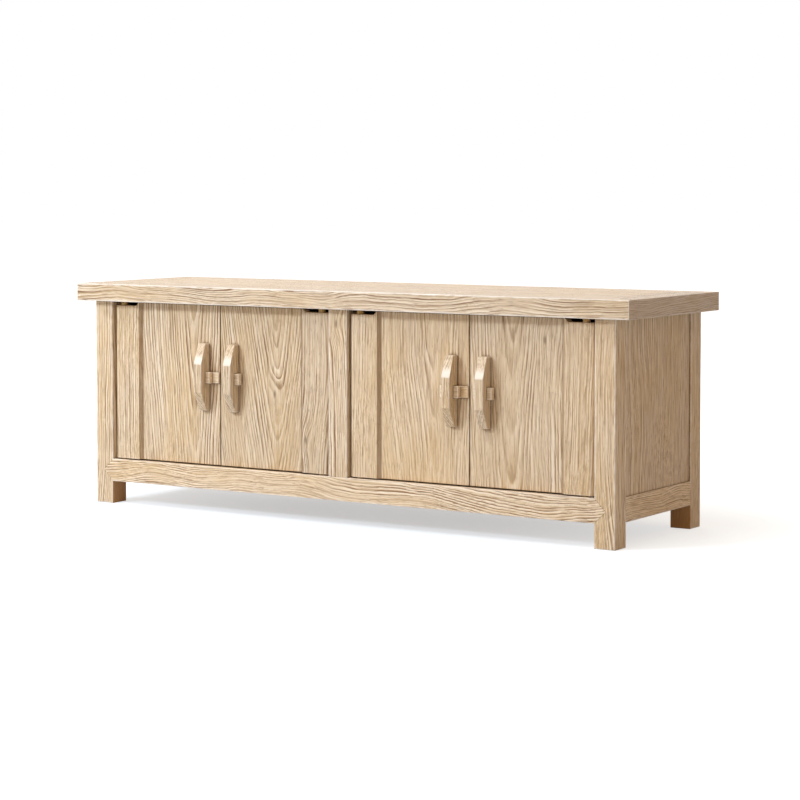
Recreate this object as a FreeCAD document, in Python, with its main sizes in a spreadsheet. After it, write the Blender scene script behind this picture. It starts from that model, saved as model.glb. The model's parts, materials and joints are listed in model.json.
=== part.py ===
import FreeCAD, Part
import os
import re
import Sketcher

# Low four-door cabinet: a mitred top on posts and rails, with pivot-hung doors and wooden bolts.
# Millimetres. The origin is on the floor under the middle of the top, and the doors face -Y.

sizes = {
    # Whole cabinet
    "top_length": 1800,
    "top_depth": 530,
    "overall_height": 640,
    "overhang_end": 50,
    "overhang_front": 25,
    "overhang_back": 5,
    # Top
    "top_thickness": 50,
    "top_rail_width": 100,
    "top_board_thickness": 24,
    "top_tongue_length": 10,
    "top_tongue_thickness": 8,
    "top_batten_width": 45,
    "top_batten_spacing": 420,
    "top_batten_setup": 4,
    "top_batten_tenon": 15,
    # Posts
    "post_width": 60,
    "post_tenon_width": 28,
    "post_tenon_length": 32,
    "centre_post_width": 60,
    "centre_post_depth": 45,
    "centre_tenon_width": 28,
    "centre_tenon_thickness": 14,
    "centre_tenon_length": 20,
    # Bottom rails
    "rail_bottom": 65,
    "rail_height": 65,
    "front_rail_depth": 50,
    "back_rail_depth": 36,
    "side_rail_depth": 36,
    "rail_tenon_thickness": 16,
    "rail_tenon_length": 24,
    "rail_tenon_shoulder": 12,
    "rail_lap_thickness": 14,
    "bearer_width": 40,
    "bearer_height": 40,
    "bearer_tenon": 18,
    # Panels and interior
    "panel_groove": 8,
    "side_panel_setback": 5,
    "side_panel_thickness": 16,
    "back_panel_setback": 6,
    "back_panel_thickness": 12,
    "partition_thickness": 18,
    "floor_setdown": 4,
    "floor_thickness": 16,
    "shelf_height": 350,
    "shelf_thickness": 18,
    "shelf_front_setback": 15,
    "shelf_gap": 2,
    "cleat_width": 18,
    "cleat_height": 20,
    "stop_height": 15,
    "stop_depth": 12,
    "stop_gap": 0.5,
    "stop_inset": 70,
    # Doors
    "door_top_gap": 2.5,
    "door_bottom_gap": 3,
    "meeting_gap": 2.5,
    "stile_gap": 5,
    "stile_width": 97,
    "stile_face_setback": 7.5,
    "stile_thickness": 28,
    "stile_rounding": 12,
    "stile_bevel_width": 10,
    "notch_height": 10,
    "notch_width": 77,
    "panel_face_setback": 16,
    "panel_tongue_length": 10,
    "panel_tongue_thickness": 8,
    "panel_tongue_stop": 20,
    "door_batten_start": 60,
    "door_batten_end": 30,
    "door_batten_height": 45,
    "door_batten_depth": 14,
    "door_batten_inset": 75,
    # Pivots
    "pivot_offset": 33,
    "pivot_setback": 18.5,
    "pin_radius": 10,
    "pin_length": 18,
    "pin_root": 30,
    "pivot_clearance": 0.3,
    # Pulls and bolts
    "pull_height": 382,
    "pull_inset": 51,
    "pull_width": 26,
    "pull_depth": 40,
    "pull_flat_length": 83,
    "pull_upper_slope": 55,
    "pull_lower_slope": 52,
    "pull_upper_depth": 20,
    "pull_lower_depth": 15,
    "block_height": 32,
    "block_front": 21,
    "block_reach": 15,
    "bolt_length": 88,
    "bolt_height": 31,
    "bolt_thickness": 6,
    "bolt_clearance": 0.5,
    "bolt_setback": 2,
}

doc = FreeCAD.newDocument("Cabinet")
sheet = doc.addObject("Spreadsheet::Sheet", "Sizes")
for row, (alias, number) in enumerate(sizes.items(), start=1):
    sheet.set(f"A{row}", alias)
    sheet.set(f"B{row}", str(number))
    sheet.setAlias(f"B{row}", alias)
doc.recompute()

nodes = []

# Two places closer than this are one
touching = 0.001


# Expressions: each word in one is a size in the sheet

def linked(expression):
    return re.sub(r"[a-z]\w*", lambda word: "Sizes." + word.group(), expression)


def value(expression):
    return float(sheet.evalExpression(linked(expression)))


def around(middle, width):
    return f"{middle} - ({width}) / 2", f"{middle} + ({width}) / 2"


def sided(span, side):
    low, high = span
    if side > 0:
        return low, high
    return f"-({high})", f"-({low})"


# Solids

def box(name, x, y, z):
    solid = doc.addObject("Part::Box", name)
    for axis, length, (low, high) in zip("xyz", ("Length", "Width", "Height"), (x, y, z)):
        solid.setExpression(f"Placement.Base.{axis}", linked(low))
        solid.setExpression(length, linked(f"({high}) - ({low})"))
    return solid


def cylinder(name, x, y, z, radius):
    solid = doc.addObject("Part::Cylinder", name)
    low, high = z
    for axis, place in zip("xyz", (x, y, low)):
        solid.setExpression(f"Placement.Base.{axis}", linked(place))
    solid.setExpression("Radius", linked(radius))
    solid.setExpression("Height", linked(f"({high}) - ({low})"))
    return solid


def wedge(name, turn, x, y, z, far_x, far_z):
    """Tapers along Y from the x and z spans to the far ones, and is then turned about Z."""
    solid = doc.addObject("Part::Wedge", name)
    spans = {"X": x, "Y": y, "Z": z, "X2": far_x, "Z2": far_z}
    for axis, (low, high) in spans.items():
        solid.setExpression(f"{axis}min", linked(low))
        solid.setExpression(f"{axis}max", linked(high))
    solid.Placement.Rotation = FreeCAD.Rotation(FreeCAD.Vector(0, 0, 1), turn)
    return solid


def fuse(name, *solids):
    joined = doc.addObject("Part::MultiFuse", name)
    joined.Shapes = list(solids)
    joined.Refine = True
    return joined


def cut(name, base, *tools):
    for number, tool in enumerate(tools, start=1):
        step = doc.addObject("Part::Cut", name if number == len(tools) else f"{name}_cut_{number}")
        step.Base = base
        step.Tool = tool
        base = step
    return base


def group(name, *solids):
    together = doc.addObject("Part::Compound", name)
    together.Links = list(solids)
    return together


def node(name, solid):
    solid.Label = name
    nodes.append(solid)
    return solid


def sketch(body, name, role, points):
    """Closed outline of straight lines, each corner placed from the body's origin."""
    drawing = body.newObject("Sketcher::SketchObject", name)
    plane = next(feature for feature in body.Origin.OriginFeatures if feature.Role == role)
    drawing.AttachmentSupport = [(plane, "")]
    drawing.MapMode = "FlatFace"
    corners = [FreeCAD.Vector(value(across), value(along), 0) for across, along in points]
    for start, end in zip(corners, corners[1:] + corners[:1]):
        drawing.addGeometry(Part.LineSegment(start, end))
    for line in range(len(corners)):
        following = (line + 1) % len(corners)
        drawing.addConstraint(Sketcher.Constraint("Coincident", line, 2, following, 1))
    for line, place in enumerate(points):
        for kind, expression in zip(("DistanceX", "DistanceY"), place):
            constraint = Sketcher.Constraint(kind, -1, 1, line, 1, value(expression))
            number = drawing.addConstraint(constraint)
            drawing.setExpression(f"Constraints[{number}]", linked(expression))
    return drawing


def body_at(name, x, y, z):
    body = doc.addObject("PartDesign::Body", name)
    for axis, place in zip("xyz", (x, y, z)):
        body.setExpression(f"Placement.Base.{axis}", linked(place))
    return body


# Places shared by the pieces

post_front = "(overhang_front - top_depth / 2)"
post_back = "(top_depth / 2 - overhang_back)"
post_outer = "(top_length / 2 - overhang_end)"
post_inner = f"({post_outer} - post_width)"
centre_half = "(centre_post_width / 2)"
inner_front = f"({post_front} + post_width)"
inner_back = f"({post_back} - post_width)"
underside = "(overall_height - top_thickness)"
board_underside = "(overall_height - top_board_thickness)"
rail_top = "(rail_bottom + rail_height)"
front_rail_back = f"({post_front} + front_rail_depth)"
back_rail_front = f"({post_back} - back_rail_depth)"
side_rail_inner = f"({post_outer} - side_rail_depth)"
floor_underside = f"({rail_top} - floor_setdown - floor_thickness)"
side_panel_outer = f"({post_outer} - side_panel_setback)"
side_panel_inner = f"({side_panel_outer} - side_panel_thickness)"
back_panel_outer = f"({post_back} - back_panel_setback)"
partition_half = "(partition_thickness / 2)"
back_tenon_middle = f"({post_back} - back_rail_depth / 2)"
front_tenon_middle = f"({post_front} + centre_post_depth / 2)"

door_bottom = f"({rail_top} + door_bottom_gap)"
door_top = f"({underside} - door_top_gap)"
door_back = f"({post_front} + stile_face_setback + stile_thickness)"
panel_face = f"({post_front} + panel_face_setback)"
half_bay = f"(({post_inner} - {centre_half}) / 2)"
meeting = f"(({post_inner} + {centre_half}) / 2)"
stile_end = "(stile_gap + stile_width)"
pivot_y = f"({post_front} + pivot_setback)"
slot_depth = "(bolt_thickness + 2 * bolt_clearance)"

full_rail = ("rail_bottom", rail_top)
tenon_rail = ("rail_bottom + rail_tenon_shoulder", f"{rail_top} - rail_tenon_shoulder")
panel_rise = (f"{rail_top} - panel_groove", f"{underside} + panel_groove")
between_posts = (inner_front, inner_back)

# Each door: the face of its post, and the side of that post on which it lies
doors = {
    1: (f"-{post_inner}", 1),
    2: (f"-{centre_half}", -1),
    3: (centre_half, 1),
    4: (post_inner, -1),
}
ends = {"left": -1, "right": 1}


def reach(door, low, high):
    """Span across a door, measured from its post's face."""
    post_face, side = doors[door]
    if side > 0:
        return f"{post_face} + {low}", f"{post_face} + {high}"
    return f"{post_face} - ({high})", f"{post_face} - ({low})"


def pivot_x(door):
    post_face, side = doors[door]
    return f"{post_face} + {side} * pivot_offset"


# Posts before their mortises: square shafts with a tenon into the top

post_blanks = {}
shafts = {}
for end, side in ends.items():
    for face, y in (("front", (post_front, inner_front)), ("back", (inner_back, post_back))):
        name = f"{face}_{end}_post"
        middle_x = f"{side} * ({post_outer} - post_width / 2)"
        middle_y = f"({y[0]} + {y[1]}) / 2"
        shaft = box(f"{name}_shaft", sided((post_inner, post_outer), side), y, ("0", underside))
        tenon = box(
            f"{name}_tenon",
            around(middle_x, "post_tenon_width"),
            around(middle_y, "post_tenon_width"),
            (underside, f"{underside} + post_tenon_length"),
        )
        shafts[face, end] = shaft
        post_blanks[face, end] = fuse(f"{name}_blank", shaft, tenon)

# Centre posts: they stand on the front and back rails, with a tenon at each end

centre_blanks = {}
centre_spans = {
    "front": ((post_front, f"{post_front} + centre_post_depth"), front_tenon_middle),
    "back": ((f"{post_back} - centre_post_depth", post_back), back_tenon_middle),
}
for face, (y, tenon_middle) in centre_spans.items():
    name = f"{face}_centre_post"
    tenon_z = (f"{rail_top} - centre_tenon_length", f"{underside} + centre_tenon_length")
    centre_blanks[face] = fuse(
        f"{name}_blank",
        box(f"{name}_shaft", around("0", "centre_post_width"), y, (rail_top, underside)),
        box(
            f"{name}_tenons",
            around("0", "centre_tenon_width"),
            around(tenon_middle, "centre_tenon_thickness"),
            tenon_z,
        ),
    )

# Front and back rails: tenoned into the posts, the front one with pointed 45 degree shoulders

pieces = [box("front_rail_bar", (f"-{post_inner}", post_inner), (post_front, front_rail_back), full_rail)]
lap_middle = "rail_bottom + rail_height / 2"
lap_y = (post_front, f"{post_front} + rail_lap_thickness")
for end, side in ends.items():
    tenon_x = sided((post_inner, f"{post_inner} + rail_tenon_length"), side)
    tenon_y = around(f"({lap_y[1]} + {front_rail_back}) / 2", "rail_tenon_thickness")
    pieces.append(box(f"front_rail_{end}_tenon", tenon_x, tenon_y, tenon_rail))
    pieces.append(wedge(
        f"front_rail_{end}_point",
        -90 * side,
        sided(lap_y, -side),
        (post_inner, f"{post_inner} + rail_height / 2"),
        full_rail,
        sided(lap_y, -side),
        (lap_middle, lap_middle),
    ))
front_rail_blank = fuse("front_rail_blank", *pieces)

back_tenon_y = around(back_tenon_middle, "rail_tenon_thickness")
back_tenon_reach = f"{post_inner} + rail_tenon_length"
back_rail_blank = fuse(
    "back_rail_blank",
    box("back_rail_bar", (f"-{post_inner}", post_inner), (back_rail_front, post_back), full_rail),
    box("back_rail_tenons", (f"-({back_tenon_reach})", back_tenon_reach), back_tenon_y, tenon_rail),
)

# Side rails and side panels

side_rail_blanks = {}
side_panels = {}
for end, side in ends.items():
    tenon_x = around(f"{side} * ({post_outer} - side_rail_depth / 2)", "rail_tenon_thickness")
    tenon_y = (f"{inner_front} - rail_tenon_length", f"{inner_back} + rail_tenon_length")
    side_rail_blanks[end] = fuse(
        f"{end}_rail_blank",
        box(f"{end}_rail_bar", sided((side_rail_inner, post_outer), side), between_posts, full_rail),
        box(f"{end}_rail_tenons", tenon_x, tenon_y, tenon_rail),
    )
    side_panels[end] = node(f"{end}_side_panel", box(
        f"{end}_side_panel",
        sided((side_panel_inner, side_panel_outer), side),
        (f"{inner_front} - panel_groove", f"{inner_back} + panel_groove"),
        panel_rise,
    ))

# Back panels and floor boards, one for each bay

back_panels = {}
floors = {}
for end, side in ends.items():
    back_panels[end] = node(f"{end}_back_panel", box(
        f"{end}_back_panel",
        sided((f"{centre_half} - panel_groove", f"{post_inner} + panel_groove"), side),
        (f"{back_panel_outer} - back_panel_thickness", back_panel_outer),
        panel_rise,
    ))
    blank = box(
        f"{end}_floor_blank",
        sided((partition_half, f"{side_rail_inner} + panel_groove"), side),
        (f"{front_rail_back} - panel_groove", f"{back_rail_front} + panel_groove"),
        (floor_underside, f"{floor_underside} + floor_thickness"),
    )
    floors[end] = node(f"{end}_floor", cut(f"{end}_floor", blank, shafts["front", end], shafts["back", end]))

# Bearer between the rails, and the partition that stands on it

bearer = node("centre_bearer", box(
    "centre_bearer",
    around("0", "bearer_width"),
    (f"{front_rail_back} - bearer_tenon", f"{back_rail_front} + bearer_tenon"),
    (f"{floor_underside} - bearer_height", floor_underside),
))
partition_blank = box(
    "partition_blank",
    around("0", "partition_thickness"),
    (f"{post_front} + centre_post_depth - panel_groove", f"{post_back} - centre_post_depth + panel_groove"),
    (floor_underside, underside),
)
partition = node("partition", cut("partition", partition_blank, front_rail_blank, back_rail_blank))

# Shelves on cleats, with a gap behind them for cables

cleat_z = ("shelf_height - cleat_height", "shelf_height")
for end, side in ends.items():
    node(f"{end}_shelf", box(
        f"{end}_shelf",
        sided((f"{partition_half} + shelf_gap", f"{side_panel_inner} - shelf_gap"), side),
        (f"{inner_front} + shelf_front_setback", f"{inner_back} - shelf_gap"),
        ("shelf_height", "shelf_height + shelf_thickness"),
    ))
    inner_cleat = sided((partition_half, f"{partition_half} + cleat_width"), side)
    outer_cleat = sided((f"{side_panel_inner} - cleat_width", side_panel_inner), side)
    node(f"{end}_shelf_cleats", group(
        f"{end}_shelf_cleats",
        box(f"{end}_inner_cleat", inner_cleat, between_posts, cleat_z),
        box(f"{end}_outer_cleat", outer_cleat, between_posts, cleat_z),
    ))

# Door stops on the front rail and under the top

stop_y = (f"{door_back} + stop_gap", f"{door_back} + stop_gap + stop_depth")
stop_z = {
    "lower": (rail_top, f"{rail_top} + stop_height"),
    "upper": (f"{underside} - stop_height", underside),
}
stop_x = (f"{centre_half} + pivot_offset + stop_inset", f"{post_inner} - pivot_offset - stop_inset")
for level, z in stop_z.items():
    strips = [box(f"{level}_{end}_stop", sided(stop_x, side), stop_y, z) for end, side in ends.items()]
    node(f"{level}_door_stops", group(f"{level}_door_stops", *strips))

# Top: boards tongued into a mitred frame, with battens under them

opening_x = "(top_length / 2 - top_rail_width)"
opening_y = "(top_depth / 2 - top_rail_width)"
tongue_z = around(f"({board_underside} + overall_height) / 2", "top_tongue_thickness")
tongue_x = f"{opening_x} + top_tongue_length"
board_names = ("front", "middle", "back")
top_boards = []
for number, place in enumerate(board_names):
    low = f"{opening_y} * {2 * number / len(board_names) - 1}"
    high = f"{opening_y} * {2 * (number + 1) / len(board_names) - 1}"
    tongue_low = f"{low} - top_tongue_length" if place == "front" else low
    tongue_high = f"{high} + top_tongue_length" if place == "back" else high
    name = f"top_board_{place}"
    face = box(f"{name}_face", (f"-{opening_x}", opening_x), (low, high), (board_underside, "overall_height"))
    tongue = box(f"{name}_tongue", (f"-({tongue_x})", tongue_x), (tongue_low, tongue_high), tongue_z)
    top_boards.append(node(name, fuse(name, face, tongue)))

batten_y = f"{opening_y} + top_batten_tenon"
batten_z = (f"{underside} + top_batten_setup", board_underside)
battens = []
for place, step in (("left", -1), ("middle", 0), ("right", 1)):
    batten_x = around(f"{step} * top_batten_spacing", "top_batten_width")
    battens.append(box(f"top_batten_{place}", batten_x, (f"-({batten_y})", batten_y), batten_z))
top_battens = node("top_battens", group("top_battens", *battens))

# Pivot pins of the doors, and the sockets that they turn in

pins = {}
lower_sockets = []
upper_sockets = []
for door in doors:
    x = pivot_x(door)
    lower_z = (f"{rail_top} - pin_length", f"{door_bottom} + pin_root")
    upper_z = (f"{door_top} - notch_height - pin_root", f"{underside} + pin_length")
    pins[door] = node(f"door_{door}_pivot_pins", group(
        f"door_{door}_pivot_pins",
        cylinder(f"door_{door}_lower_pin", x, pivot_y, lower_z, "pin_radius"),
        cylinder(f"door_{door}_upper_pin", x, pivot_y, upper_z, "pin_radius"),
    ))
    radius = "pin_radius + pivot_clearance"
    lower_z = (f"{rail_top} - pin_length - pivot_clearance", rail_top)
    upper_z = (underside, f"{underside} + pin_length + pivot_clearance")
    lower_sockets.append(cylinder(f"door_{door}_lower_socket", x, pivot_y, lower_z, radius))
    upper_sockets.append(cylinder(f"door_{door}_upper_socket", x, pivot_y, upper_z, radius))

# Mitred frame of the top, cut for all that it carries

frame_tools = top_boards + [top_battens]
frame_tools += list(post_blanks.values()) + list(centre_blanks.values())
frame_tools += list(side_panels.values()) + list(back_panels.values())
frame_rails = {
    "front": (0, "top_length", "top_depth", upper_sockets),
    "right": (90, "top_depth", "top_length", []),
    "back": (180, "top_length", "top_depth", []),
    "left": (270, "top_depth", "top_length", []),
}
for place, (turn, length, across, sockets) in frame_rails.items():
    name = f"top_{place}_rail"
    blank = wedge(
        f"{name}_blank",
        turn,
        around("0", length),
        (f"-{across} / 2", f"-{across} / 2 + top_rail_width"),
        (underside, "overall_height"),
        around("0", f"{length} - 2 * top_rail_width"),
        (underside, "overall_height"),
    )
    node(name, cut(name, blank, *frame_tools, *sockets))

# Finished rails and posts, cut by the pieces that enter them

node("front_rail", cut(
    "front_rail", front_rail_blank, bearer, centre_blanks["front"], *floors.values(), *lower_sockets))
node("back_rail", cut(
    "back_rail", back_rail_blank, bearer, centre_blanks["back"], *floors.values(), *back_panels.values()))
for end in ends:
    node(f"{end}_rail", cut(f"{end}_rail", side_rail_blanks[end], floors[end], side_panels[end]))
    for face, rail in (("front", front_rail_blank), ("back", back_rail_blank)):
        tools = [rail, side_rail_blanks[end], side_panels[end]]
        if face == "back":
            tools.append(back_panels[end])
        node(f"{face}_{end}_post", cut(f"{face}_{end}_post", post_blanks[face, end], *tools))
node("front_centre_post", cut("front_centre_post", centre_blanks["front"], partition))
node("back_centre_post", cut("back_centre_post", centre_blanks["back"], partition, *back_panels.values()))


# Doors

def stile(door):
    """Pivot stile about its pivot axis: rounded outer edge, bevelled inner edge, notched top."""
    side = doors[door][1]
    name = f"door_{door}_stile"
    outer = f"{side} * (stile_gap - pivot_offset)"
    inner = f"{side} * ({stile_end} - pivot_offset)"
    bevel = f"{side} * ({stile_end} - stile_bevel_width - pivot_offset)"
    face = "stile_face_setback - pivot_setback"
    back = "stile_face_setback + stile_thickness - pivot_setback"
    height = f"({door_top} - {door_bottom})"
    body = body_at(f"{name}_blank", pivot_x(door), pivot_y, door_bottom)
    plan = [
        (outer, face),
        (bevel, face),
        (inner, "panel_face_setback - pivot_setback"),
        (inner, back),
        (outer, back),
    ]
    pad = body.newObject("PartDesign::Pad", f"{name}_pad")
    pad.Profile = sketch(body, f"{name}_plan", "XY_Plane", plan)
    pad.setExpression("Length", linked(height))
    doc.recompute()
    fillet = body.newObject("PartDesign::Fillet", f"{name}_rounding")
    fillet.Base = (pad, upright_edges(pad.Shape, value(outer)))
    fillet.setExpression("Radius", linked("stile_rounding"))
    doc.recompute()
    low = f"{height} - notch_height"
    notch_end = f"{side} * (stile_gap + notch_width - pivot_offset)"
    slope_end = f"{side} * (stile_gap + notch_width + 2 * notch_height - pivot_offset)"
    beyond = f"{side} * -pivot_offset"
    notch = [
        (beyond, low),
        (notch_end, low),
        (slope_end, f"{height} + notch_height"),
        (beyond, f"{height} + notch_height"),
    ]
    pocket = body.newObject("PartDesign::Pocket", f"{name}_notch")
    pocket.Profile = sketch(body, f"{name}_notch_outline", "XZ_Plane", notch)
    pocket.Type = "ThroughAll"
    pocket.SideType = "Symmetric"
    doc.recompute()
    if pocket.Shape.Volume >= fillet.Shape.Volume:
        raise ValueError(f"{name} has no notch")
    return body


def upright_edges(shape, x):
    """Names of the vertical edges at one x."""
    names = []
    for number, edge in enumerate(shape.Edges, start=1):
        spread = edge.BoundBox
        if spread.ZLength > spread.XLength + spread.YLength and abs(spread.Center.x - x) < touching:
            names.append(f"Edge{number}")
    return names


def pull(door, x):
    """Faceted pull, standing on the door's panel about its middle."""
    name = f"door_{door}_pull"
    body = body_at(f"{name}_blank", x, panel_face, "pull_height")
    low = "-pull_flat_length / 2"
    high = "pull_flat_length / 2"
    profile = [
        ("0", f"{low} - pull_lower_slope"),
        ("-pull_lower_depth", f"{low} - pull_lower_slope"),
        ("-pull_depth", low),
        ("-pull_depth", high),
        ("-pull_upper_depth", f"{high} + pull_upper_slope"),
        ("0", f"{high} + pull_upper_slope"),
    ]
    pad = body.newObject("PartDesign::Pad", f"{name}_pad")
    pad.Profile = sketch(body, f"{name}_profile", "YZ_Plane", profile)
    pad.SideType = "Symmetric"
    pad.setExpression("Length", linked("pull_width"))
    return body


for door, (post_face, side) in doors.items():
    name = f"door_{door}"
    panel_x = reach(door, stile_end, f"{half_bay} - meeting_gap / 2")
    tongue_x = reach(door, f"{stile_end} - panel_tongue_length", stile_end)
    tongue_y = around(f"({panel_face} + {door_back}) / 2", "panel_tongue_thickness")
    tongue_z = (f"{door_bottom} + panel_tongue_stop", f"{door_top} - panel_tongue_stop")
    panel = node(f"{name}_panel", fuse(
        f"{name}_panel",
        box(f"{name}_panel_board", panel_x, (panel_face, door_back), (door_bottom, door_top)),
        box(f"{name}_panel_tongue", tongue_x, tongue_y, tongue_z),
    ))
    node(f"{name}_pivot_stile", cut(f"{name}_pivot_stile", stile(door), panel, pins[door]))

    batten_x = reach(door, "door_batten_start", f"{half_bay} - door_batten_end")
    batten_y = (door_back, f"{door_back} + door_batten_depth")
    batten_low = f"{door_bottom} + door_batten_inset"
    batten_high = f"{door_top} - door_batten_inset"
    node(f"{name}_battens", group(
        f"{name}_battens",
        box(f"{name}_lower_batten", batten_x, batten_y, (batten_low, f"{batten_low} + door_batten_height")),
        box(f"{name}_upper_batten", batten_x, batten_y, (f"{batten_high} - door_batten_height", batten_high)),
    ))

    pull_x = f"{post_face} + {side} * ({half_bay} - pull_inset)"
    slot = box(
        f"{name}_bolt_slot",
        around(pull_x, "pull_width + 2 * block_reach"),
        (f"{panel_face} - {slot_depth}", panel_face),
        around("pull_height", "bolt_height + 2 * bolt_clearance"),
    )
    block = node(f"{name}_cross_block", box(
        f"{name}_cross_block",
        around(pull_x, "pull_width + 2 * block_reach"),
        (f"{panel_face} - block_front", f"{panel_face} - {slot_depth}"),
        around("pull_height", "block_height"),
    ))
    node(f"{name}_pull", cut(f"{name}_pull", pull(door, pull_x), slot, block))

# Bolts, drawn back behind the left pull of each pair

for end, side in ends.items():
    tip = f"{side} * {meeting} - bolt_setback"
    node(f"{end}_bolt", box(
        f"{end}_bolt",
        (f"{tip} - bolt_length", tip),
        (f"{panel_face} - bolt_clearance - bolt_thickness", f"{panel_face} - bolt_clearance"),
        around("pull_height", "bolt_height"),
    ))

# Check every object, then write each piece

doc.recompute()
for item in doc.Objects:
    if "Invalid" in item.State or "Error" in item.State:
        raise ValueError(f"{item.Label} failed: {item.State}")
os.makedirs("parts", exist_ok=True)
for item in nodes:
    if item.Shape.isNull() or not item.Shape.isValid() or not item.Shape.Solids:
        raise ValueError(f"{item.Label} has no valid solid")
for item in nodes:
    item.Shape.exportStep(f"parts/{item.Label}.step")
print(len(nodes), "pieces written")
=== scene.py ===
import json
import math
import random

import bpy
from mathutils import Matrix, Vector

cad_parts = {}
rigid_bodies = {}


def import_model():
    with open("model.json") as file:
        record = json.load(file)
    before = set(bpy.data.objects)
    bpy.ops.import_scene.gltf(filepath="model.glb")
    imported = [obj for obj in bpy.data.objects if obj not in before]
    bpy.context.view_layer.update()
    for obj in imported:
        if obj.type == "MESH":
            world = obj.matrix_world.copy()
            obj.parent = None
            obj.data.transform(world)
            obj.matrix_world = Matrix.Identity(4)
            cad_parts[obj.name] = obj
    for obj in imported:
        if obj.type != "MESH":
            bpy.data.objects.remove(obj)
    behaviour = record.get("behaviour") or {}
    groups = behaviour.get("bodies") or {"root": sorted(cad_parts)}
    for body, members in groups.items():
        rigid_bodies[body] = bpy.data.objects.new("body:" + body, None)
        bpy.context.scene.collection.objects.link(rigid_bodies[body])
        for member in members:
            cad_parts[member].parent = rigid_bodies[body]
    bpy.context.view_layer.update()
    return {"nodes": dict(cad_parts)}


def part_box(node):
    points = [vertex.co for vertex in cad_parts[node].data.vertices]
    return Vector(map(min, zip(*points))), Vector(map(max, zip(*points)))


for leftover in list(bpy.data.objects):
    bpy.data.objects.remove(leftover)
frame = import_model()
nodes = frame["nodes"]
scene = bpy.context.scene
scene.view_settings.view_transform = "Standard"


# Node helpers

def add(tree, kind, **settings):
    node = tree.nodes.new(kind)
    for key, setting in settings.items():
        setattr(node, key, setting)
    return node


def feed(tree, socket, source):
    """A socket takes either a link from another socket or a plain value."""
    if isinstance(source, bpy.types.NodeSocket):
        tree.links.new(source, socket)
    else:
        socket.default_value = source


def math_node(tree, operation, *values):
    node = add(tree, "ShaderNodeMath", operation=operation)
    for socket, source in zip(node.inputs, values):
        feed(tree, socket, source)
    return node.outputs[0]


def vector_node(tree, operation, *values):
    node = add(tree, "ShaderNodeVectorMath", operation=operation)
    for socket, source in zip(node.inputs, values):
        feed(tree, socket, source)
    return node.outputs[0]


def scaled(tree, vector, factor):
    product = vector_node(tree, "SCALE", vector)
    feed(tree, product.node.inputs["Scale"], factor)
    return product


def length(tree, vector):
    return vector_node(tree, "LENGTH", vector).node.outputs["Value"]


def split(tree, vector):
    node = add(tree, "ShaderNodeSeparateXYZ")
    feed(tree, node.inputs[0], vector)
    return node.outputs


def remap(tree, source, low, high, to_low=0.0, to_high=1.0, curve="SMOOTHSTEP"):
    node = add(tree, "ShaderNodeMapRange", interpolation_type=curve)
    for socket, setting in zip(node.inputs, (source, low, high, to_low, to_high)):
        feed(tree, socket, setting)
    return node.outputs[0]


def noise(tree, vector, rates, detail=2.0, roughness=0.5):
    """Noise at so many cycles a metre along each axis."""
    node = add(tree, "ShaderNodeTexNoise")
    feed(tree, node.inputs["Vector"], vector_node(tree, "MULTIPLY", vector, rates))
    node.inputs["Scale"].default_value = 1.0
    node.inputs["Detail"].default_value = detail
    node.inputs["Roughness"].default_value = roughness
    return node.outputs


def streak_noise(tree, vector, across, along, detail=2.0, roughness=0.5):
    """Noise drawn out along the grain, in cycles a metre."""
    return noise(tree, vector, (across, across, along), detail, roughness)["Fac"]


def random_push(tree, vector, rates, detail):
    """A push of up to half a unit each way."""
    return vector_node(tree, "SUBTRACT", noise(tree, vector, rates, detail)["Color"], (0.5, 0.5, 0.5))


def noise_line(tree, place, detail=1.0):
    node = add(tree, "ShaderNodeTexNoise", noise_dimensions="1D")
    feed(tree, node.inputs["W"], place)
    node.inputs["Scale"].default_value = 1.0
    node.inputs["Detail"].default_value = detail
    return node.outputs["Fac"]


def ramp(tree, source, stops):
    """Grey levels at places from 0 to 1."""
    node = add(tree, "ShaderNodeValToRGB")
    feed(tree, node.inputs[0], source)
    elements = node.color_ramp.elements
    elements.remove(elements[1])
    for number, (place, level) in enumerate(stops):
        stop = elements[0] if number == 0 else elements.new(place)
        stop.position = place
        stop.color = (level, level, level, 1.0)
    return node.outputs[0]


def mix(tree, factor, first, second):
    node = add(tree, "ShaderNodeMix", data_type="RGBA")
    feed(tree, node.inputs["Factor"], factor)
    feed(tree, node.inputs["A"], first)
    feed(tree, node.inputs["B"], second)
    return node.outputs["Result"]


def linear(red, green, blue):
    """A colour written in 0-255 screen values."""
    def channel(level):
        level /= 255
        return level / 12.92 if level <= 0.04045 else ((level + 0.055) / 1.055) ** 2.4
    return channel(red), channel(green), channel(blue), 1.0


# Elm: growth rings about a pith that leans and wanders, with fibres and pores along the grain.
# The group works in metres, with x across the board, y into its depth and z along the grain.

pale = linear(250, 236, 211)
body = linear(226, 205, 173)
honey = linear(223, 196, 152)
brown = linear(142, 107, 71)
dark = linear(88, 60, 36)
# Whitish for worn arrises, which also paints a highlight along them
wear_and_highlight_white = linear(255, 248, 236)

# Rates of noise are in cycles a metre, and a range is (from low, from high, to low, to high)
ripple_rates = (22.0, 22.0, 11.0)
knot_stretch = (1.0, 0.0, 0.42)
knot_swell = (0.0, 0.036, 0.012, 0.0)
knot_eye = (0.0015, 0.007, 1.0, 0.0)
uneven_rate = 0.55
uneven_years = 1.25
late_stops = ((0.0, 0.0), (0.52, 0.0), (0.70, 0.65), (0.78, 1.0), (0.92, 1.0), (1.0, 0.0))
early_stops = ((0.0, 0.5), (0.08, 1.0), (0.30, 0.9), (0.46, 0.0), (1.0, 0.0))
year_strength = (0.0, 1.0, 0.45, 1.0)
break_rates = {"across": 48.0, "along": 8.0}
break_strength = (0.36, 0.60, 0.40, 1.05)
patch_rates = {"across": 13.0, "along": 1.6}
patch_strength = (0.36, 0.62, 0.45, 1.15)
fibre_rates = {"across": 400.0, "along": 12.0}
streak_rates = {"across": 190.0, "along": 7.0}
cloud_rates = {"across": 7.0, "along": 2.4}
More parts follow.
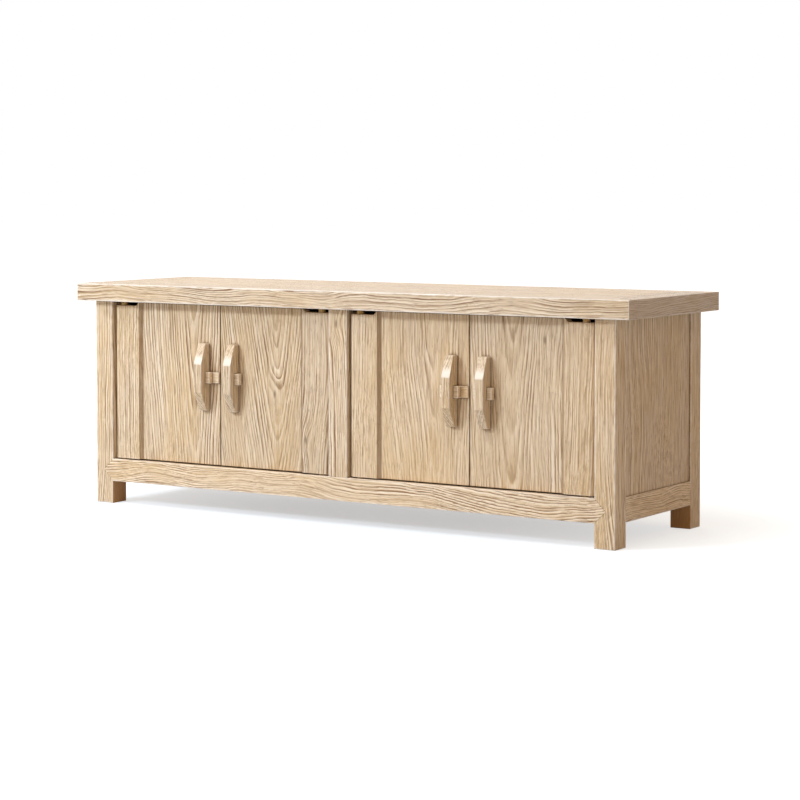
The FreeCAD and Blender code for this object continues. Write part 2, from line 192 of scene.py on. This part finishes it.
pore_rates = {"across": 700.0, "along": 30.0}
pore_range = (0.64, 0.76)
cloud_range = (0.34, 0.68)
dark_streaks = (0.54, 0.72, 0.0, 0.28)
pale_streaks = (0.46, 0.28, 0.0, 0.26)
dark_fibres = (0.52, 0.68, 0.0, 0.46)
pale_fibres = (0.48, 0.32, 0.0, 0.53)
early_cover = 0.90
late_cover = 0.85
pore_cover = 0.42
eye_cover = 0.50
# Painted shade in corners: ambient occlusion samples, and how dark it paints
corner_shade_samples = 6
corner_shade_cover = (0.35, 0.95, 0.80, 0.0)
# How far the pale arrises reach, worn and painted as a highlight
wear_and_highlight_rates = (30.0, 30.0, 30.0)
wear_and_highlight_reach = (0.35, 0.65, 0.003, 0.007)
rounded_reach = 0.0025
band_fade = 0.02
late_relief = 0.35
fibre_relief = 0.35
pore_relief = -0.35
rounded_relief = -0.7
fibre_roughness = (0.3, 0.7, 0.42, 0.60)

group_inputs = {
    "NodeSocketVector": (
        "Vector", "Pith", "Lean", "Seed", "Wave", "Knot", "Arris Middle", "Arris Half",
        "Band Place", "Band Axis",
    ),
    "NodeSocketFloat": (
        "Ring", "Wander", "Taper", "Ripple", "Figure", "Tone", "Wear And Highlight", "Gloss", "Corner Shade", "Rich",
        "Band Reach", "Band Core", "Band End", "Band Strength",
    ),
    "NodeSocketColor": ("Band Color",),
}
group_outputs = {"NodeSocketColor": ("Color",), "NodeSocketFloat": ("Height", "Roughness")}


def pith_arm(tree, given, seeded, along):
    """The way from the pith, which leans along the board and wanders from side to side."""
    lean = scaled(tree, given["Lean"], along)
    wander = scaled(tree, random_push(tree, seeded, given["Wave"], detail=1.0), given["Wander"])
    ripple = scaled(tree, random_push(tree, seeded, ripple_rates, detail=2.0), given["Ripple"])
    arm = vector_node(tree, "SUBTRACT", given["Vector"], given["Pith"])
    arm = vector_node(tree, "SUBTRACT", arm, lean)
    arm = vector_node(tree, "ADD", arm, wander)
    return vector_node(tree, "ADD", arm, ripple)


def knot_distance(tree, given):
    """Distance from the knot, which is longer along the grain than across it."""
    knot = vector_node(tree, "SUBTRACT", given["Vector"], given["Knot"])
    return length(tree, vector_node(tree, "MULTIPLY", knot, knot_stretch))


def ring_radius(tree, given, arm, along, knot):
    """Radius in a trunk that tapers, with rings that flow round the knot."""
    radius = length(tree, vector_node(tree, "MULTIPLY", arm, (1.0, 1.0, 0.0)))
    radius = math_node(tree, "SUBTRACT", radius, math_node(tree, "MULTIPLY", along, given["Taper"]))
    return math_node(tree, "ADD", radius, remap(tree, knot, *knot_swell))


def rings(tree, given, radius, flow, seeded):
    """Rings of uneven width: a pale start, then a late line that darkens slowly and stops sharply."""
    years = math_node(tree, "DIVIDE", radius, given["Ring"])
    uneven = noise_line(tree, math_node(tree, "MULTIPLY", years, uneven_rate))
    years = math_node(tree, "ADD", years, math_node(tree, "MULTIPLY", uneven, uneven_years))
    season = math_node(tree, "FRACT", years)
    year = add(tree, "ShaderNodeTexWhiteNoise", noise_dimensions="1D")
    feed(tree, year.inputs["W"], math_node(tree, "FLOOR", years))
    strength = remap(tree, year.outputs["Value"], *year_strength)
    broken = remap(tree, streak_noise(tree, flow, **break_rates), *break_strength)
    patches = remap(tree, streak_noise(tree, seeded, **patch_rates, detail=1.0), *patch_strength)
    for factor in (broken, patches, given["Figure"]):
        strength = math_node(tree, "MULTIPLY", strength, factor)
    late = math_node(tree, "MULTIPLY", ramp(tree, season, late_stops), strength)
    early = math_node(tree, "MULTIPLY", ramp(tree, season, early_stops), strength)
    return late, early


def arris_depth(tree, given):
    """Depth below the nearest edge of the piece's box: the second of its three depths below the faces."""
    depth = vector_node(tree, "SUBTRACT", given["Vector"], given["Arris Middle"])
    depth = vector_node(tree, "SUBTRACT", given["Arris Half"], vector_node(tree, "ABSOLUTE", depth))
    first, second, third = split(tree, depth)
    low = math_node(tree, "MINIMUM", first, second)
    high = math_node(tree, "MAXIMUM", first, second)
    return math_node(tree, "MAXIMUM", low, math_node(tree, "MINIMUM", high, third))


def corner_shade_mask(tree, given):
    """Painted shade in the corners where pieces meet, from ambient occlusion."""
    corner = add(tree, "ShaderNodeAmbientOcclusion", samples=corner_shade_samples)
    feed(tree, corner.inputs["Distance"], given["Corner Shade"])
    return remap(tree, corner.outputs["AO"], *corner_shade_cover)


def wear_and_highlight_mask(tree, given, seeded, arris):
    """Pale within a few millimetres of the arrises: wear, and a painted highlight where the rounded edges
    would catch the light.
    """
    reach = remap(tree, noise(tree, seeded, wear_and_highlight_rates)["Fac"], *wear_and_highlight_reach)
    return math_node(tree, "MULTIPLY", remap(tree, arris, 0.0, reach, 1.0, 0.0), given["Wear And Highlight"])


def painted_light_band_mask(tree, given, along):
    """Painted shade or painted highlight on one plane of the piece, up to an end along the grain."""
    off = vector_node(tree, "SUBTRACT", given["Vector"], given["Band Place"])
    off = vector_node(tree, "DOT_PRODUCT", off, given["Band Axis"]).node.outputs["Value"]
    off = math_node(tree, "DIVIDE", math_node(tree, "ABSOLUTE", off), given["Band Reach"])
    band = remap(tree, off, given["Band Core"], 1.0, 1.0, 0.0)
    band = math_node(tree, "MULTIPLY", band, given["Band Strength"])
    past = math_node(tree, "SUBTRACT", along, given["Band End"])
    return math_node(tree, "MULTIPLY", band, remap(tree, past, 0.0, band_fade, 1.0, 0.0))


def elm_group():
    tree = bpy.data.node_groups.new("elm", "ShaderNodeTree")
    for in_out, sockets in (("INPUT", group_inputs), ("OUTPUT", group_outputs)):
        for kind, names in sockets.items():
            for name in names:
                tree.interface.new_socket(name, in_out=in_out, socket_type=kind)
    given = add(tree, "NodeGroupInput").outputs
    result = add(tree, "NodeGroupOutput").inputs

    seeded = vector_node(tree, "ADD", given["Vector"], given["Seed"])
    along = split(tree, given["Vector"])["Z"]
    arm = pith_arm(tree, given, seeded, along)
    flow = vector_node(tree, "ADD", arm, given["Seed"])
    knot = knot_distance(tree, given)
    late, early = rings(tree, given, ring_radius(tree, given, arm, along, knot), flow, seeded)
    fibre = streak_noise(tree, flow, **fibre_rates, detail=3.0, roughness=0.6)
    streak = streak_noise(tree, flow, **streak_rates, detail=1.0)
    cloud = streak_noise(tree, seeded, **cloud_rates)
    pore = remap(tree, streak_noise(tree, flow, **pore_rates, detail=1.0), *pore_range)
    arris = arris_depth(tree, given)

    colour = mix(tree, remap(tree, cloud, *cloud_range), body, honey)
    for mask, tint in (
        (math_node(tree, "MULTIPLY", early, early_cover), pale),
        (math_node(tree, "MULTIPLY", late, late_cover), brown),
        (remap(tree, streak, *dark_streaks), brown),
        (remap(tree, streak, *pale_streaks), pale),
        (remap(tree, fibre, *dark_fibres), brown),
        (remap(tree, fibre, *pale_fibres), pale),
        (math_node(tree, "MULTIPLY", pore, pore_cover), dark),
        (math_node(tree, "MULTIPLY", remap(tree, knot, *knot_eye), eye_cover), dark),
        # Painted shade where pieces meet, pale worn arrises that also carry a painted highlight, and bands of
        # painted shade or painted highlight
        (corner_shade_mask(tree, given), dark),
        (wear_and_highlight_mask(tree, given, seeded, arris), wear_and_highlight_white),
        (painted_light_band_mask(tree, given, along), given["Band Color"]),
    ):
        colour = mix(tree, mask, colour, tint)
    toned = add(tree, "ShaderNodeHueSaturation")
    feed(tree, toned.inputs["Value"], given["Tone"])
    feed(tree, toned.inputs["Saturation"], given["Rich"])
    feed(tree, toned.inputs["Color"], colour)
    feed(tree, result["Color"], toned.outputs[0])

    rounded = remap(tree, arris, 0.0, rounded_reach, 1.0, 0.0, curve="LINEAR")
    rounded = math_node(tree, "POWER", rounded, 2.0)
    height = math_node(tree, "MULTIPLY", late, late_relief)
    for form, relief in ((fibre, fibre_relief), (pore, pore_relief), (rounded, rounded_relief)):
        height = math_node(tree, "ADD", height, math_node(tree, "MULTIPLY", form, relief))
    feed(tree, result["Height"], height)
    rough = remap(tree, fibre, *fibre_roughness)
    feed(tree, result["Roughness"], math_node(tree, "SUBTRACT", rough, given["Gloss"]))
    return tree


elm = elm_group()

# How the pieces were sawn. The first row whose part of a name fits a piece counts.

axes = {"x": 0, "y": 1, "z": 2}
# The row axis along the grain, then the one that goes into the depth from the face that shows
sawn = (
    ("top_battens", "yz"), ("shelf_cleats", "yz"), ("door_stops", "xy"), ("top_board", "xz"),
    ("top_left_rail", "yx"), ("top_right_rail", "yx"), ("top_", "xy"), ("_floor", "xz"), ("_shelf", "xz"),
    ("centre_bearer", "yz"), ("front_rail", "xy"), ("back_rail", "xy"), ("left_rail", "yx"),
    ("right_rail", "yx"), ("side_panel", "zx"), ("partition", "zx"), ("_battens", "xy"), ("_block", "xy"),
    ("_bolt", "xy"), ("", "zy"),
)
kinds = (
    ("pivot_pins", "pin"), ("_battens", "plain"), ("cleats", "plain"), ("stops", "plain"),
    ("_floor", "plain"), ("_shelf", "plain"), ("bearer", "plain"), ("partition", "plain"),
    ("_panel", "panel"), ("_stile", "stile"), ("_pull", "pull"), ("_block", "block"), ("_bolt", "block"),
    ("_post", "post"), ("top_left_rail", "end"), ("top_right_rail", "end"), ("top_", "top"),
    ("_rail", "rail"),
)


def first_match(name, table):
    return next(found for part, found in table if part in name)


# How each kind of piece grew and aged, with the shade and highlight painted on it: across and deep place the
# pith from the middle of the piece, lean and wander say how straight it runs, a ring is a year's width, and
# the painted shade in corners reaches so far from them, in metres
common = {
    "across": (0.24, 0.34), "deep": (0.24, 0.34), "lean": 0.02, "wave": (4.0, 4.0, 2.2), "wander": 0.06,
    "ripple": 0.006, "tone": 1.0, "wear_and_highlight": 0.0, "gloss": 0.0, "corner_shade": 0.009, "rich": 1.0,
}
waxed = {**common, "gloss": 0.15}
upright = {**common, "wave": (5.0, 5.0, 1.8), "ripple": 0.005}
offcut = {
    **common, "across": (0.10, 0.20), "deep": (0.10, 0.20), "lean": 0.05, "wave": (6.0, 6.0, 2.0),
    "wander": 0.05, "wear_and_highlight": 0.4, "gloss": 0.04,
}
styles = {
    "top": {**waxed, "ring": (0.0042, 0.0048), "wander": 0.08, "ripple": 0.007, "figure": 1.85, "wear_and_highlight": 1.0},
    "end": {**waxed, "ring": (0.0030, 0.0034), "wander": 0.04, "ripple": 0.005, "figure": 2.40, "wear_and_highlight": 0.8},
    "rail": {
        **common, "ring": (0.0044, 0.0052), "wander": 0.10, "ripple": 0.008, "figure": 1.55, "wear_and_highlight": 0.45,
    },
    "panel": {
        **common, "across": (0.34, 0.55), "deep": (0.10, 0.18), "lean": 0.03, "ring": (0.0082, 0.0094),
        "wave": (3.6, 3.6, 1.6), "wander": 0.13, "figure": 1.10,
    },
    "post": {
        **upright, "lean": 0.03, "ring": (0.0053, 0.0061), "figure": 0.95, "wear_and_highlight": 0.8, "corner_shade": 0.004,
    },
    "stile": {
        **upright, "across": (0.24, 0.40), "deep": (0.10, 0.18), "lean": 0.04, "ring": (0.0068, 0.0078),
        "figure": 1.05, "wear_and_highlight": 0.4, "corner_shade": 0.006,
    },
    "pull": {**offcut, "ring": (0.0050, 0.0060), "figure": 0.75, "tone": 0.96, "corner_shade": 0.003},
    "block": {**offcut, "ring": (0.0070, 0.0090), "figure": 0.35, "tone": 1.05, "corner_shade": 0.002},
    "plain": {
        **common, "across": (0.10, 0.25), "deep": (0.10, 0.20), "lean": 0.03, "ring": (0.0080, 0.0110),
        "wave": (4.0, 4.0, 1.2), "wander": 0.08, "figure": 0.7, "tone": 0.98, "wear_and_highlight": 0.1,
    },
    "pin": {
        **common, "across": (0.02, 0.03), "deep": (0.02, 0.03), "ring": (0.004, 0.005),
        "wave": (6.0, 6.0, 2.0), "wander": 0.02, "ripple": 0.004, "figure": 0.6, "tone": 0.80,
        "corner_shade": 0.004, "rich": 1.6,
    },
}
tone_spread = (0.98, 1.02)
seed_spread = (-30, 30)

# Pieces that are lighter or darker than their kind, or more or less figured
tones = {
    "front_rail": 1.10, "right_rail": 1.14, "front_left_post": 1.04, "front_right_post": 1.03,
    "door_2_panel": 0.94, "door_2_pivot_stile": 0.935, "door_4_panel": 0.985,
    "top_front_rail": 0.925, "top_right_rail": 0.90,
}
figures = {
    "door_2_panel": 1.05, "door_3_panel": 0.70, "left_back_panel": 0.7, "right_back_panel": 0.7,
    "left_side_panel": 0.75, "right_side_panel": 0.75, "door_2_pivot_stile": 1.35, "door_3_pivot_stile": 1.15,
    "door_4_pivot_stile": 0.65, "front_centre_post": 1.25,
}
# Knots at points in the row frame, which other pieces have far away
beyond = 9.0
far_away = (beyond, beyond, beyond)
knots = {
    "door_2_panel": (-0.222, -0.224, 0.345), "door_4_panel": (0.636, -0.224, 0.528),
    "door_2_pivot_stile": (-0.112, -0.232, 0.225), "front_centre_post": (-0.005, -0.240, 0.549),
}
# Flat-sawn panels with a flame figure: x of its middle line, depth of the pith, taper of the trunk
flames = {
    "door_1_panel": (-0.500, 0.020, 0.07), "door_2_panel": (-0.215, 0.015, 0.14),
    "door_3_panel": (0.300, 0.020, 0.06), "door_4_panel": (0.540, 0.020, 0.08),
}
flame_wander = 0.06

# Bands of painted shade or painted highlight, each on a plane through a place in the row frame, with a reach
# on both sides of it.
# The core is the share of that reach at full strength, and the end is where it stops along the grain.

stile_bevel = 0.010
pull_slope = 0.055
pull_slope_fall = 0.020
past_ridge = 0.010
foot_top = 0.10
no_painted_band = {
    "place": far_away, "axis": (1, 0, 0), "reach": 0.001, "core": 0.0, "strength": 0.0,
    "colour": linear(0, 0, 0), "end": beyond,
}


def painted_light_band(name, low, high):
    """Painted shade on the stiles' inner bevels, the top's end faces and the feet's inner faces, and a
    painted highlight on the pulls' ridges.
    """
    left = "left" in name
    if name.endswith("pivot_stile"):
        # Painted shade on the stile's inner bevel, which faces away from the front lamp
        inner = high.x - stile_bevel / 2 if name.startswith(("door_1", "door_3")) else low.x + stile_bevel / 2
        return {
            **no_painted_band, "place": (inner, 0, 0), "reach": stile_bevel / 2, "core": 0.75, "strength": 0.55,
            "colour": linear(120, 84, 52),
        }
    if name.endswith("_pull"):
        # Painted highlight along the ridge of the pull's upper facet
        ridge = high.z - pull_slope
        facet = Vector((0, -pull_slope, pull_slope_fall)).normalized()
        return {
            "place": (0, low.y, ridge), "axis": facet, "reach": 0.0015, "core": 0.5, "strength": 0.85,
            "colour": linear(255, 249, 236), "end": ridge + past_ridge,
        }
    if name in ("top_left_rail", "top_right_rail"):
        # Painted shade on the top's end faces
        return {
            **no_painted_band, "place": (low.x if left else high.x, 0, 0), "reach": 0.003, "core": 0.6,
            "strength": 0.5, "colour": linear(178, 140, 80),
        }
    if name.endswith("_post") and "centre" not in name:
        # Painted shade on the feet's inner faces, below the rails
        foot_shade = {
            **no_painted_band, "reach": 0.0016, "core": 0.6, "strength": 0.85, "colour": linear(196, 152, 96),
            "end": foot_top,
        }
        if name.startswith("back"):
            return {**foot_shade, "place": (0, low.y, 0), "axis": (0, 1, 0)}
        return {**foot_shade, "place": (high.x if left else low.x, 0, 0)}
    return no_painted_band


# The material of each piece

top_names = [name for name in nodes if name.startswith("top_") and "battens" not in name]
top_low = Vector([min(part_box(name)[0][axis] for name in top_names) for axis in axes.values()])
top_high = Vector([max(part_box(name)[1][axis] for name in top_names) for axis in axes.values()])
top_specular = 0.5
other_specular = 0.3
bump_depth = 0.001


def board_turn(across, depth, grain):
    """Turns row axes into the group's axes, by a right-handed turn."""
    turn = Matrix.Diagonal((0.0, 0.0, 0.0))
    for row, axis in enumerate((across, depth, grain)):
        turn[row][axis] = 1.0
    if turn.determinant() < 0:
        turn[0][across] = -1.0
    return turn


def board_settings(name, turn, across, depth, grain):
    """What the elm group is given for one piece, in the group's axes."""
    low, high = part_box(name)
    middle = (low + high) / 2
    arris_low, arris_high = (top_low, top_high) if name.startswith("top_") else (low, high)
    arris_half = (arris_high - arris_low) / 2
    style = styles[first_match(name, kinds)]
    band = painted_light_band(name, low, high)

    chance = random.Random(name)
    side = chance.choice((-1, 1))
    pith = Vector((side * chance.uniform(*style["across"]), chance.uniform(*style["deep"]), 0))
    lean = Vector((chance.uniform(-1, 1), chance.uniform(-1, 1), 0)) * style["lean"]
    seed = Vector([chance.uniform(*seed_spread) for axis in axes])
    ring = chance.uniform(*style["ring"])
    tone = chance.uniform(*tone_spread) * style["tone"] * tones.get(name, 1.0)
    wander = style["wander"]
    taper = 0.0
    if name in flames:
        line, pith_depth, taper = flames[name]
        pith = Vector((line - middle.x, pith_depth, 0))
        wander = flame_wander
    return {
        "Pith": pith,
        "Lean": lean,
        "Seed": seed,
        "Ring": ring,
        "Tone": tone,
        "Wander": wander,
        "Taper": taper,
        "Wave": style["wave"],
        "Ripple": style["ripple"],
        "Figure": style["figure"] * figures.get(name, 1.0),
        "Wear And Highlight": style["wear_and_highlight"],
        "Gloss": style["gloss"],
        "Corner Shade": style["corner_shade"],
        "Rich": style["rich"],
        "Knot": turn @ (Vector(knots.get(name, far_away)) - middle),
        "Arris Middle": turn @ ((arris_low + arris_high) / 2 - middle),
        "Arris Half": Vector((arris_half[across], arris_half[depth], arris_half[grain])),
        "Band Place": turn @ (Vector(band["place"]) - middle),
        "Band Axis": turn @ Vector(band["axis"]),
        "Band Reach": band["reach"],
        "Band Core": band["core"],
        "Band Strength": band["strength"],
        "Band Color": band["colour"],
        "Band End": band["end"] - middle[grain],
    }


def wood(name, node):
    grain, depth = (axes[letter] for letter in first_match(name, sawn))
    across = sum(axes.values()) - grain - depth
    turn = board_turn(across, depth, grain)
    low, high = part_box(name)

    material = bpy.data.materials.new("elm_" + name)
    material.use_nodes = True
    tree = material.node_tree
    turned = add(tree, "ShaderNodeMapping")
    turned.inputs["Rotation"].default_value = turn.to_euler("XYZ")
    turned.inputs["Location"].default_value = -(turn @ ((low + high) / 2))
    feed(tree, turned.inputs["Vector"], add(tree, "ShaderNodeTexCoord").outputs["Object"])
    board = add(tree, "ShaderNodeGroup", node_tree=elm)
    feed(tree, board.inputs["Vector"], turned.outputs[0])
    for key, setting in board_settings(name, turn, across, depth, grain).items():
        board.inputs[key].default_value = setting
    bump = add(tree, "ShaderNodeBump")
    bump.inputs["Strength"].default_value = 1.0
    bump.inputs["Distance"].default_value = bump_depth
    feed(tree, bump.inputs["Height"], board.outputs["Height"])
    shader = tree.nodes["Principled BSDF"]
    feed(tree, shader.inputs["Base Color"], board.outputs["Color"])
    feed(tree, shader.inputs["Roughness"], board.outputs["Roughness"])
    feed(tree, shader.inputs["Normal"], bump.outputs[0])
    specular = top_specular if name.startswith("top_") else other_specular
    shader.inputs["Specular IOR Level"].default_value = specular
    node.data.materials.clear()
    node.data.materials.append(material)


# Eased arrises

top_easing = 0.0022
other_easing = 0.0013
weld_gap = 0.00005
flat_angle = math.radians(0.5)
arris_angle = math.radians(35)


def ease(node, width):
    """Joins the faces of the mesh where they are flat, and rounds its arrises."""
    weld = node.modifiers.new("weld", "WELD")
    weld.merge_threshold = weld_gap
    flat = node.modifiers.new("flat", "DECIMATE")
    flat.decimate_type = "DISSOLVE"
    flat.angle_limit = flat_angle
    bevel = node.modifiers.new("ease", "BEVEL")
    bevel.width = width
    bevel.segments = 2
    bevel.limit_method = "ANGLE"
    bevel.angle_limit = arris_angle
    bevel.harden_normals = True


for name, node in nodes.items():
    wood(name, node)
    ease(node, top_easing if name.startswith("top_") else other_easing)


# Floor, which shows white to the camera and keeps the shadow

floor_reach = 30.0
floor_shown = (0.50, 0.58, 0.66, 1.0)
open_bounce = (0.56, 0.61, 0.67, 1.0)
bounce_under = (0.36, 0.14, 0.03, 1.0)
under_edge_x = (0.78, 0.86)
under_edge_y = (0.19, 0.26)
floor_lift = (0.2, 2.0, 0.52, 1.0)


def seen_directly(tree):
    """1 for rays from the camera and for those that reflect or pass through to what it sees."""
    ray = add(tree, "ShaderNodeLightPath").outputs
    seen = math_node(tree, "MAXIMUM", ray["Is Camera Ray"], ray["Is Glossy Ray"])
    return math_node(tree, "MAXIMUM", seen, ray["Is Transmission Ray"])


def floor_material():
    """Throws warm light up under the cabinet and cool light elsewhere, and glows white further out."""
    material = bpy.data.materials.new("floor")
    material.use_nodes = True
    tree = material.node_tree
    tree.nodes.clear()
    shown = seen_directly(tree)
    place = add(tree, "ShaderNodeNewGeometry").outputs["Position"]
    spot = split(tree, vector_node(tree, "ABSOLUTE", place))
    under = math_node(
        tree, "MULTIPLY",
        remap(tree, spot["X"], *under_edge_x, 1.0, 0.0),
        remap(tree, spot["Y"], *under_edge_y, 1.0, 0.0),
    )
    bounce = mix(tree, under, open_bounce, bounce_under)
    matt = add(tree, "ShaderNodeBsdfDiffuse")
    feed(tree, matt.inputs["Color"], mix(tree, shown, bounce, floor_shown))
    lift = add(tree, "ShaderNodeEmission")
    level = remap(tree, length(tree, place), *floor_lift)
    feed(tree, lift.inputs["Strength"], math_node(tree, "MULTIPLY", shown, level))
    both = add(tree, "ShaderNodeAddShader")
    feed(tree, both.inputs[0], matt.outputs[0])
    feed(tree, both.inputs[1], lift.outputs[0])
    end = add(tree, "ShaderNodeOutputMaterial")
    feed(tree, end.inputs["Surface"], both.outputs[0])
    return material


def floor():
    mesh = bpy.data.meshes.new("floor")
    corners = [(x * floor_reach, y * floor_reach, 0) for x, y in ((-1, -1), (1, -1), (1, 1), (-1, 1))]
    mesh.from_pydata(corners, [], [(0, 1, 2, 3)])
    mesh.materials.append(floor_material())
    plane = bpy.data.objects.new("floor", mesh)
    scene.collection.objects.link(plane)


floor()


# Light: a white room, a large soft lamp in front on the left, one overhead and a weak one behind

white = (1.0, 1.0, 1.0, 1.0)
room_glow = (0.445, 0.302, 0.192, 1.0)


def room():
    """White where it is seen, and a warm glow where it only lights."""
    world = bpy.data.worlds.new("room")
    scene.world = world
    world.use_nodes = True
    tree = world.node_tree
    feed(tree, tree.nodes["Background"].inputs["Color"], mix(tree, seen_directly(tree), room_glow, white))


def lamp(name, place, target, size, power, colour):
    data = bpy.data.lights.new(name, "AREA")
    data.shape = "RECTANGLE"
    data.size, data.size_y = size
    data.energy = power
    data.color = colour
    holder = bpy.data.objects.new(name, data)
    holder.location = place
    holder.rotation_euler = (Vector(target) - Vector(place)).to_track_quat("-Z", "Y").to_euler()
    holder.visible_camera = False
    scene.collection.objects.link(holder)
    return holder


room()
lamp(
    "front_left", place=(-2.7, -4.0, 2.8), target=(0, -0.2, 0.35), size=(2.0, 0.9), power=140,
    colour=(0.92, 1.0, 1.11),
)
lamp(
    "overhead", place=(-0.5, -1.3, 3.6), target=(0, 0, 0.4), size=(2.8, 2.0), power=64,
    colour=(0.98, 1.0, 1.03),
)
behind = lamp(
    "behind", place=(-3.0, 5.0, 2.0), target=(0, 0.2, 0.4), size=(3.0, 1.6), power=70,
    colour=(1.0, 0.98, 0.95),
)
behind.visible_glossy = False


# Camera at the photograph's angle

focal_length = 106.22
sensor_width = 36
shift_up = -0.1375
camera_place = (3.5984, -5.5530, 0.9494)
tilt_down = 2.745
turn_left = 32.589

lens = bpy.data.cameras.new("camera")
lens.lens = focal_length
lens.sensor_width = sensor_width
lens.shift_y = shift_up
camera = bpy.data.objects.new("camera", lens)
camera.location = camera_place
camera.rotation_euler = (math.radians(90 - tilt_down), 0, math.radians(turn_left))
scene.collection.objects.link(camera)
scene.camera = camera
